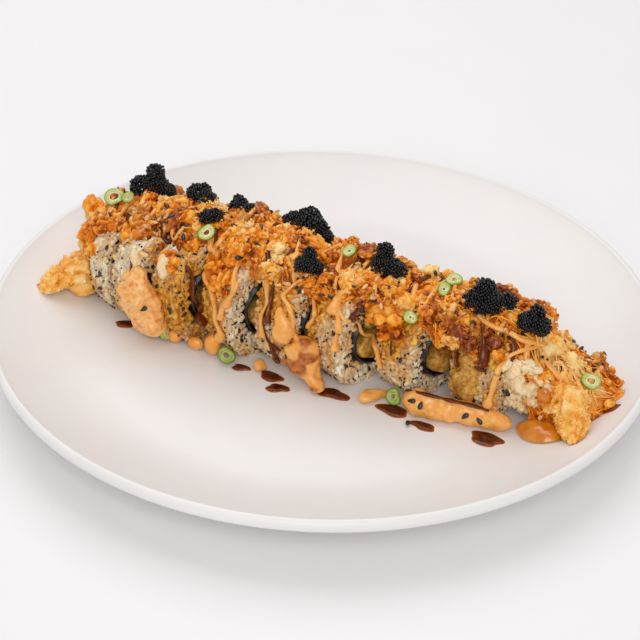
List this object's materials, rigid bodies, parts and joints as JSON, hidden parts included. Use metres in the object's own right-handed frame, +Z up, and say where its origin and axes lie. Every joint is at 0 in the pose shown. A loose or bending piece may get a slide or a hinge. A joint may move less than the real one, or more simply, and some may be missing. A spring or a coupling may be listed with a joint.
{
  "type": "sushi roll on a plate",
  "caption": "Sliced inside-out sushi roll with fried prawn, spicy crab topping, black roe, scallion and sauces, served on a round white coupe plate.",
  "frame": {"origin": "middle of the plate's foot, on the surface that the plate stands on", "axes": "+X along the row of slices, +Z up, and the cut faces look towards -Y"},
  "size_m": [0.254, 0.254, 0.0602],
  "materials": {
    "porcelain": "white glazed porcelain",
    "rice": "moist steamed rice",
    "seaweed": "moist seaweed sheet",
    "batter": "crisp fried batter",
    "avocado": "moist and soft",
    "crab": "moist fibres",
    "topping": "sauced and lumpy",
    "roe": "wet beads",
    "scallion": "fresh and moist",
    "chilli_mayonnaise": "thick glossy sauce",
    "amber_sauce": "clear glossy sauce"
  },
  "bodies": {
    "root": {"plate": "porcelain", "rice_1": "rice", "rice_2": "rice", "rice_3": "rice", "rice_4": "rice", "rice_5": "rice", "rice_6": "rice", "rice_7": "rice", "rice_8": "rice", "nori_1": "seaweed", "nori_2": "seaweed", "nori_3": "seaweed", "nori_4": "seaweed", "nori_5": "seaweed", "nori_6": "seaweed", "nori_7": "seaweed", "nori_8": "seaweed", "prawn_1": "batter", "prawn_2": "batter", "prawn_3": "batter", "prawn_4": "batter", "prawn_5": "batter", "prawn_6": "batter", "prawn_7": "batter", "prawn_8": "batter", "avocado_1": "avocado", "avocado_2": "avocado", "avocado_3": "avocado", "avocado_4": "avocado", "avocado_5": "avocado", "avocado_6": "avocado", "avocado_7": "avocado", "avocado_8": "avocado", "crab_stick": "crab", "crab_topping": "topping", "roe_1": "roe", "roe_2": "roe", "roe_3": "roe", "roe_4": "roe", "roe_5": "roe", "roe_6": "roe", "roe_7": "roe", "roe_8": "roe", "roe_9": "roe", "scallion_1": "scallion", "scallion_2": "scallion", "scallion_3": "scallion", "scallion_4": "scallion", "scallion_5": "scallion", "scallion_6": "scallion", "scallion_7": "scallion", "scallion_8": "scallion", "scallion_9": "scallion", "scallion_10": "scallion", "mayo_blob_left": "chilli_mayonnaise", "mayo_blob_middle": "chilli_mayonnaise", "mayo_band_right": "chilli_mayonnaise", "mayo_drop_1": "chilli_mayonnaise", "mayo_drop_2": "chilli_mayonnaise", "amber_sauce": "amber_sauce"}
  },
  "joints": []
}
